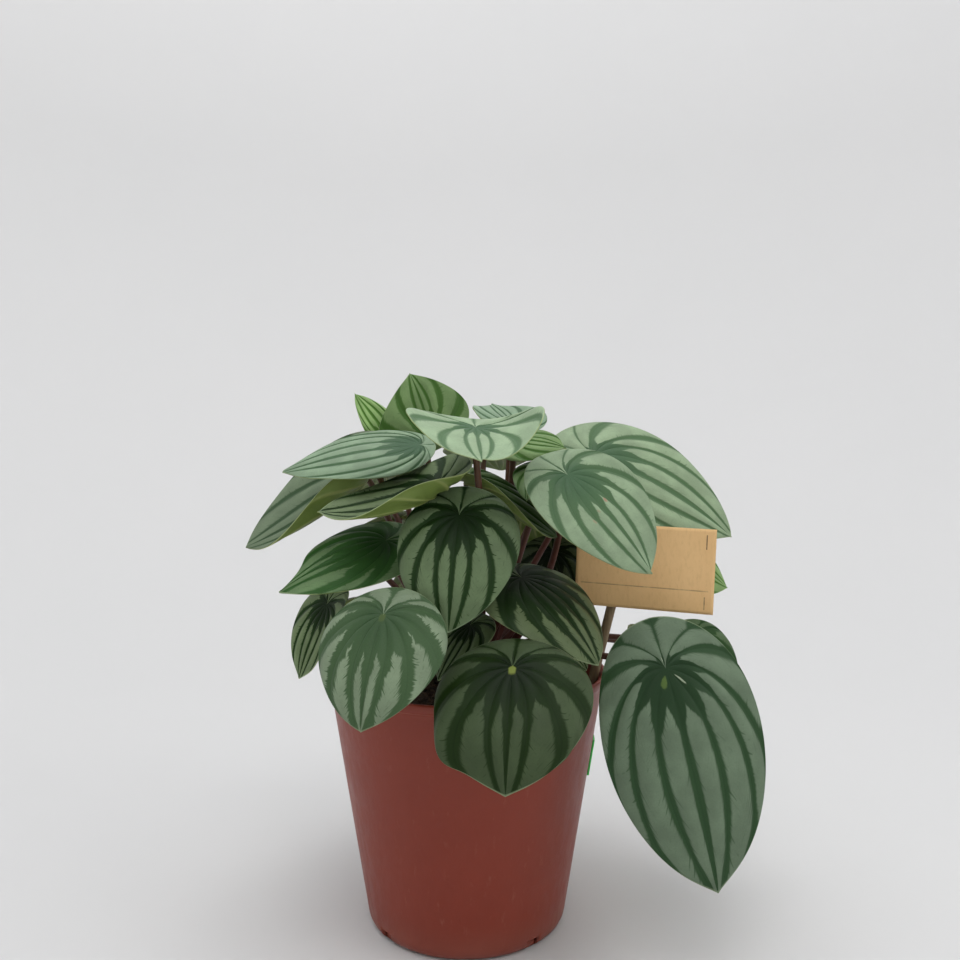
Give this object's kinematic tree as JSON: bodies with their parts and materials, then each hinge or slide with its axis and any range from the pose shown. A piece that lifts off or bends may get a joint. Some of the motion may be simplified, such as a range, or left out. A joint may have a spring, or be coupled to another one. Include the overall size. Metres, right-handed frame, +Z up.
{
  "type": "potted peperomia",
  "caption": "Potted foliage plant: a tapered plastic nursery pot of soil, one crown of red petioles with broad striped peltate leaves, and a plain card on a stick.",
  "frame": {"origin": "centre of the pot's flat underside", "axes": "+Z up, -Y towards the side that is seen in the picture, +X to that viewer's right"},
  "size_m": [0.2144, 0.204, 0.2361],
  "materials": {
    "pot_plastic": "satin moulded plastic, red-brown",
    "soil": "dark damp potting mix",
    "petiole": "smooth fleshy, dark red",
    "leaf": "smooth waxy, dark green bands along the veins with silver-green between",
    "card": "matte kraft card",
    "stick": "dull brown-grey",
    "sticker": "bright green, plain"
  },
  "bodies": {
    "root": {"pot": "pot_plastic", "soil": "soil", "crown_and_petioles": "petiole", "tag_card": "card", "tag_stick": "stick", "pot_sticker": "sticker", "leaf_a": "leaf", "leaf_b": "leaf", "leaf_c": "leaf", "leaf_d": "leaf", "leaf_e": "leaf", "leaf_g": "leaf", "leaf_h": "leaf", "leaf_i": "leaf", "leaf_j": "leaf", "leaf_k": "leaf", "leaf_l": "leaf", "leaf_m": "leaf", "leaf_n": "leaf", "leaf_o": "leaf", "leaf_p": "leaf", "leaf_q": "leaf", "leaf_r": "leaf", "leaf_s": "leaf", "leaf_t": "leaf", "leaf_u": "leaf", "leaf_v": "leaf", "leaf_x": "leaf", "leaf_y": "leaf", "leaf_back_a": "leaf", "leaf_back_b": "leaf", "leaf_back_d": "leaf", "leaf_back_e": "leaf", "leaf_back_f": "leaf", "leaf_back_g": "leaf", "leaf_back_h": "leaf", "leaf_back_i": "leaf", "leaf_back_j": "leaf", "leaf_back_k": "leaf"}
  },
  "joints": []
}
